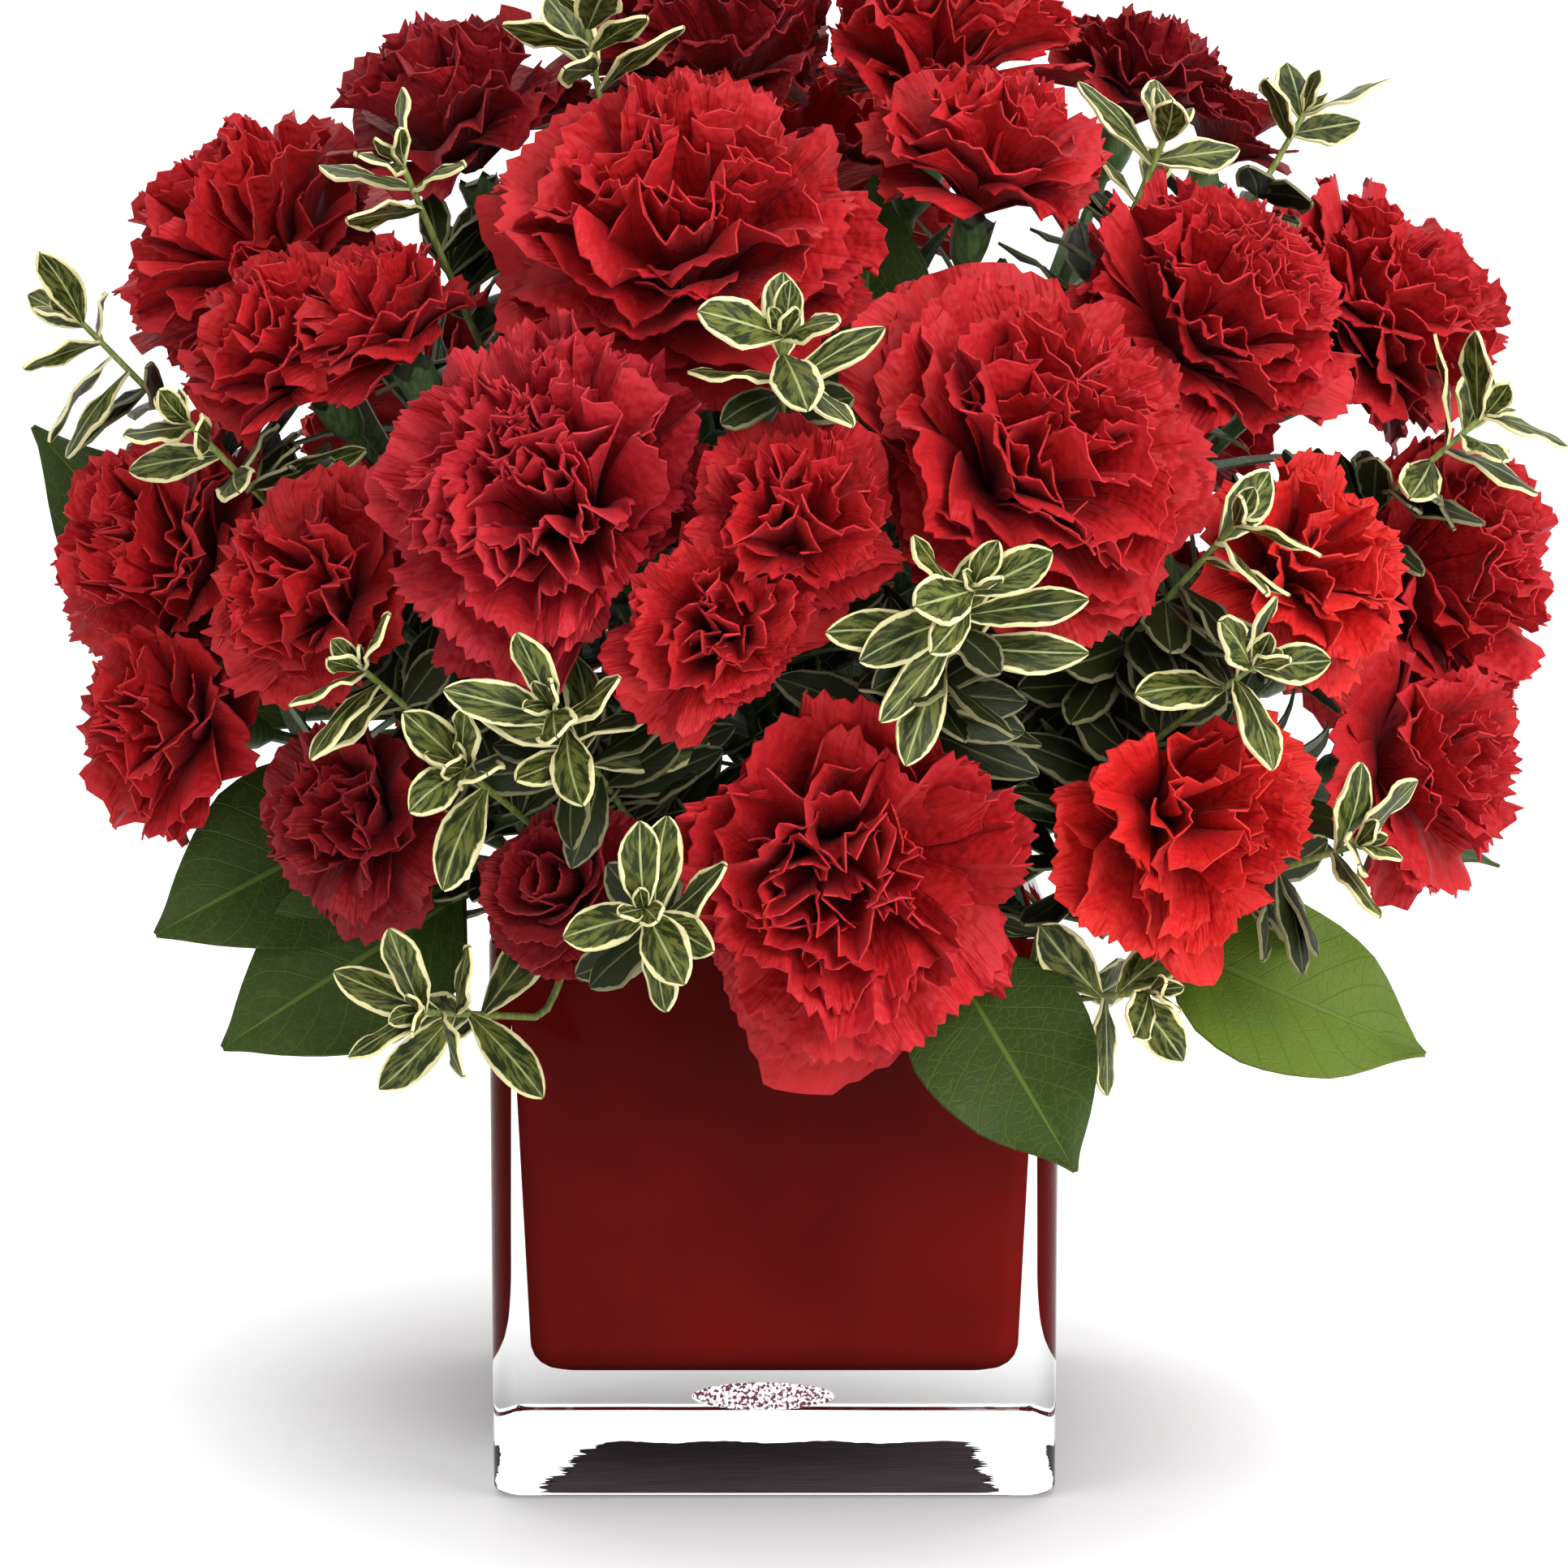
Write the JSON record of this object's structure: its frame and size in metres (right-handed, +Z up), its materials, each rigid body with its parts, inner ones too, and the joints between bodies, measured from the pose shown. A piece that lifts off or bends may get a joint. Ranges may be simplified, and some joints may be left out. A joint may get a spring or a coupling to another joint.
{
  "type": "carnations in a vase",
  "caption": "Round bouquet of crimson carnations with cream-edged sprigs and broad leaves, stems in foam inside a red-lined clear glass cube vase.",
  "frame": {"origin": "middle of the flat underside of the vase, on the surface it stands on", "axes": "+Z up; -Y towards the front, the side seen in the picture; +X to the viewer's right"},
  "size_m": [0.3574, 0.3218, 0.3496],
  "materials": {
    "clear_glass": "polished clear",
    "red_lining": "deep maroon gloss",
    "foam": "fine open-celled, dark green, damp",
    "petal": "velvety crimson",
    "dark_petal": "velvety dark crimson",
    "stem": "smooth green, slightly waxy",
    "cream_edged_leaf": "grey-green with cream wavy edges, satin",
    "broad_leaf": "dark green, leathery satin with net veins"
  },
  "bodies": {
    "root": {"bloom_back_centre": "petal", "bloom_back_far_left": "petal", "bloom_back_far_right": "petal", "bloom_back_left": "petal", "bloom_back_low_left": "petal", "bloom_back_low_right": "petal", "bloom_back_right": "petal", "bloom_back_top": "petal", "bloom_centre_high": "petal", "bloom_far_left": "petal", "bloom_far_right": "petal", "bloom_far_upper_left": "petal", "bloom_far_upper_right": "petal", "bloom_front_centre": "petal", "bloom_left": "petal", "bloom_left_curled": "dark_petal", "bloom_left_dark": "dark_petal", "bloom_left_high_outer": "petal", "bloom_left_low": "dark_petal", "bloom_left_top": "petal", "bloom_mid_left": "petal", "bloom_mid_right": "petal", "bloom_right": "petal", "bloom_right_front": "petal", "bloom_right_low": "petal", "bloom_top_far": "dark_petal", "bloom_top_front": "petal", "bloom_top_left": "dark_petal", "bloom_top_right": "petal", "bloom_upper_centre": "petal", "bloom_upper_right": "petal", "broad_leaves_back": "broad_leaf", "broad_leaves_left": "broad_leaf", "broad_leaves_low_left": "broad_leaf", "broad_leaves_low_right": "broad_leaf", "broad_leaves_top": "broad_leaf", "foam": "foam", "spray_stem_back_left": "stem", "spray_stem_back_right": "stem", "spray_stem_centre": "stem", "spray_stem_left": "stem", "spray_stem_left_high": "stem", "spray_stem_right": "stem", "spray_stem_top": "stem", "sprigs_back": "cream_edged_leaf", "sprigs_centre": "cream_edged_leaf", "sprigs_front_left": "cream_edged_leaf", "sprigs_left_high": "cream_edged_leaf", "sprigs_left_low": "cream_edged_leaf", "sprigs_right": "cream_edged_leaf", "sprigs_right_low": "cream_edged_leaf", "sprigs_top_left": "cream_edged_leaf", "sprigs_top_right": "cream_edged_leaf", "stems_back": "stem", "stems_centre": "stem", "stems_front": "stem", "stems_left": "stem", "stems_right": "stem", "vase_glass": "clear_glass", "vase_lining": "red_lining"}
  },
  "joints": []
}
